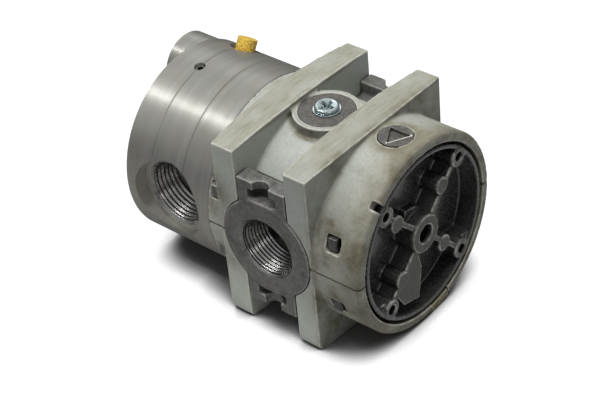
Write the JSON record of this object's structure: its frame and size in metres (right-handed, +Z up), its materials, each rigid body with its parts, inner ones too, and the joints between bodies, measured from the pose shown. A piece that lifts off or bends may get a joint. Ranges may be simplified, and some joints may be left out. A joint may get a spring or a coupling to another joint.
{
  "type": "pneumatic poppet valve",
  "caption": "In-line compressed-air poppet valve: split grey casing with square clamp flanges, opposed threaded ports, round ribbed end cover and turned aluminium exhaust head.",
  "frame": {"origin": "centre of the head's turned rear face, on the main axis", "axes": "+X along the main axis towards the ribbed end cover, +Y out of the inlet port (the flow arrow points to the -Y outlet port), +Z up, out of the gauge port"},
  "size_m": [0.1115, 0.067, 0.0677],
  "materials": {
    "casing_paint": "fine-grained warm grey moulding with brown grime in the corners",
    "diecast": "mottled raw die casting",
    "dark_cast": "dark coated casting, worn bright on its edges",
    "turned_aluminium": "fine circumferential turning lines",
    "sintered_bronze": "rough sintered granules",
    "brass": "machined",
    "zinc_plate": "bright zinc plate",
    "steel": "machined steel",
    "rubber": "black nitrile rubber",
    "piston_plastic": "natural acetal",
    "latch_plastic": "brownish, greasy plastic"
  },
  "bodies": {
    "housing": {"upper_shell": "casing_paint", "lower_shell": "casing_paint", "valve_body": "diecast", "end_cover": "dark_cast", "cover_gasket": "rubber", "gauge_port_cover": "diecast", "gauge_port_washer": "zinc_plate", "gauge_port_screw": "zinc_plate", "gauge_port_seal": "rubber", "flow_arrow_disc": "diecast", "latch_tab": "latch_plastic", "adapter_flange": "turned_aluminium", "middle_ring": "turned_aluminium", "rear_cap": "turned_aluminium", "lock_pin": "steel", "breather": "sintered_bronze", "head_screw_a": "steel", "head_screw_b": "steel", "head_screw_c": "steel", "adapter_seal": "rubber", "main_seat_ring": "brass", "exhaust_seat_ring": "brass", "stem_guide": "brass", "return_spring": "steel"},
    "valve_train": {"valve_stem": "steel", "poppet": "brass", "front_seal_disc": "rubber", "rear_seal_disc": "rubber", "poppet_nut": "steel", "pilot_piston": "piston_plastic", "piston_seal": "rubber", "piston_nut": "steel", "spring_cup": "steel", "retaining_ring": "steel"}
  },
  "joints": [
    {"name": "stem_slide", "type": "slide", "parent": "housing", "child": "valve_train", "axis": [-1, 0, 0], "range_m": [0, 0.005], "stiffness_N_per_m": 1500, "springref_m": -0.004, "deforming": ["return_spring"]}
  ]
}
